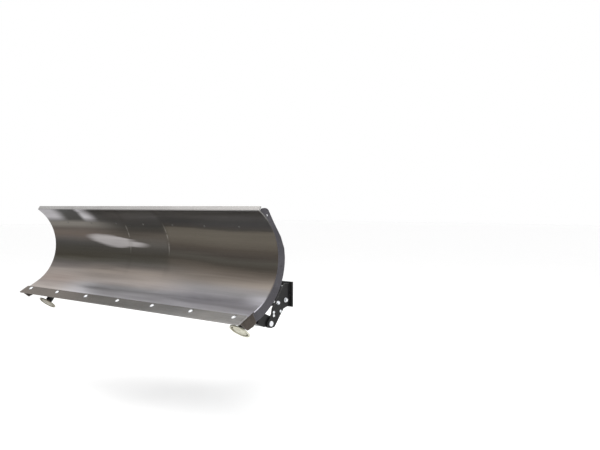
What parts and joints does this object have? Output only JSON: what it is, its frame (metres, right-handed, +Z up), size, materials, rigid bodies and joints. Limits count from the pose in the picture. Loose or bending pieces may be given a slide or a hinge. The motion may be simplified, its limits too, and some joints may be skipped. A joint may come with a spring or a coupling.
{
  "type": "atv snow plow blade",
  "caption": "Curved steel snow blade for a small all-terrain vehicle, with bolted wear bar, skid shoes, sprung trip hinge, swivel with index pin and pivoting push frame.",
  "frame": {"origin": "middle of the vehicle mount's flat rear face", "axes": "+X along the blade, +Y back towards the vehicle, square to the mount's rear face, +Z up; the plow is stored raised, with the blade's hollow face towards -Y"},
  "size_m": [1.5, 0.875, 0.5576],
  "materials": {
    "blade_steel": "bare rolled steel, satin, streaked along its length",
    "rib_steel": "bare dark mill-finish steel",
    "wear_steel": "bare hot-rolled flat bar, dull",
    "black_paint": "black powder coat, semi-gloss",
    "zinc": "bright zinc plate",
    "shoe_zinc": "pale yellowish zinc plate, slightly cast surface"
  },
  "bodies": {
    "vehicle_mount": {"mount_back_plate": "black_paint", "mount_cross_bar": "black_paint", "mount_side_plate_left": "black_paint", "pivot_pin_left": "zinc", "mount_side_plate_right": "black_paint", "pivot_pin_right": "zinc", "mount_bolt_left_1": "zinc", "mount_bolt_left_2": "zinc", "mount_bolt_right_1": "zinc", "mount_bolt_right_2": "zinc"},
    "push_frame": {"frame_rear_tube": "black_paint", "turntable_plate": "black_paint", "king_bolt": "zinc", "lock_housing": "black_paint", "lock_spring": "zinc", "lift_hoop": "black_paint", "pivot_lug_left": "black_paint", "push_arm_left": "black_paint", "pivot_lug_right": "black_paint", "push_arm_right": "black_paint"},
    "swivel_carrier": {"sector_plate": "black_paint", "king_nut": "zinc", "carrier_tube": "black_paint", "carrier_brace": "black_paint", "carrier_plate_left": "black_paint", "trip_bolt_left": "zinc", "trip_spring_left": "zinc", "carrier_plate_right": "black_paint", "trip_bolt_right": "zinc", "trip_spring_right": "zinc"},
    "blade": {"moldboard": "blade_steel", "wear_bar": "wear_steel", "back_stiffener": "rib_steel", "trip_stop_bar": "rib_steel", "wear_bar_bolt_1": "zinc", "wear_bar_bolt_2": "zinc", "wear_bar_bolt_3": "zinc", "wear_bar_bolt_4": "zinc", "wear_bar_bolt_5": "zinc", "wear_bar_bolt_6": "zinc", "wear_bar_bolt_7": "zinc", "end_rib_left": "rib_steel", "foot_plate_left": "wear_steel", "mid_rib_left": "rib_steel", "pivot_rib_left": "rib_steel", "skid_bracket_left": "black_paint", "skid_clamp_left": "zinc", "end_rib_right": "rib_steel", "foot_plate_right": "wear_steel", "mid_rib_right": "rib_steel", "pivot_rib_right": "rib_steel", "skid_bracket_right": "black_paint", "skid_clamp_right": "zinc"},
    "skid_left": {"skid_shoe_left": "shoe_zinc"},
    "skid_right": {"skid_shoe_right": "shoe_zinc", "skid_spacer_right": "black_paint"},
    "index_pin": {"lock_pin": "zinc"},
    "shackle": {"shackle_bow": "zinc", "shackle_pin": "zinc"}
  },
  "joints": [
    {"name": "lift", "type": "hinge", "parent": "vehicle_mount", "child": "push_frame", "pos_m": [0, -0.137, -0.128], "axis": [1, 0, 0], "range_deg": [0, 24]},
    {"name": "blade_angle", "type": "hinge", "parent": "push_frame", "child": "swivel_carrier", "pos_m": [0, -0.49419, 0.05644], "axis": [0, 0.3681, 0.9298], "range_deg": [-30, 30]},
    {"name": "trip", "type": "hinge", "parent": "swivel_carrier", "child": "blade", "pos_m": [0, -0.66031, 0.0878], "axis": [1, 0, 0], "range_deg": [0, 35], "stiffness_Nm_per_rad": 200, "springref_deg": -45.84, "deforming": ["trip_spring_left", "trip_spring_right"]},
    {"name": "skid_height_left", "type": "slide", "parent": "blade", "child": "skid_left", "axis": [0, 0.6018, 0.7986], "range_m": [-0.05, 0]},
    {"name": "skid_height_right", "type": "slide", "parent": "blade", "child": "skid_right", "axis": [0, 0.6018, 0.7986], "range_m": [-0.041, 0]},
    {"name": "index_pin_drop", "type": "slide", "parent": "push_frame", "child": "index_pin", "axis": [0, 0.3681, 0.9298], "range_m": [-0.018, 0], "deforming": ["lock_spring"]},
    {"name": "shackle_swing", "type": "hinge", "parent": "push_frame", "child": "shackle", "pos_m": [0, -0.25162, 0.04429], "axis": [1, 0, 0], "range_deg": [-130, 5]}
  ]
}
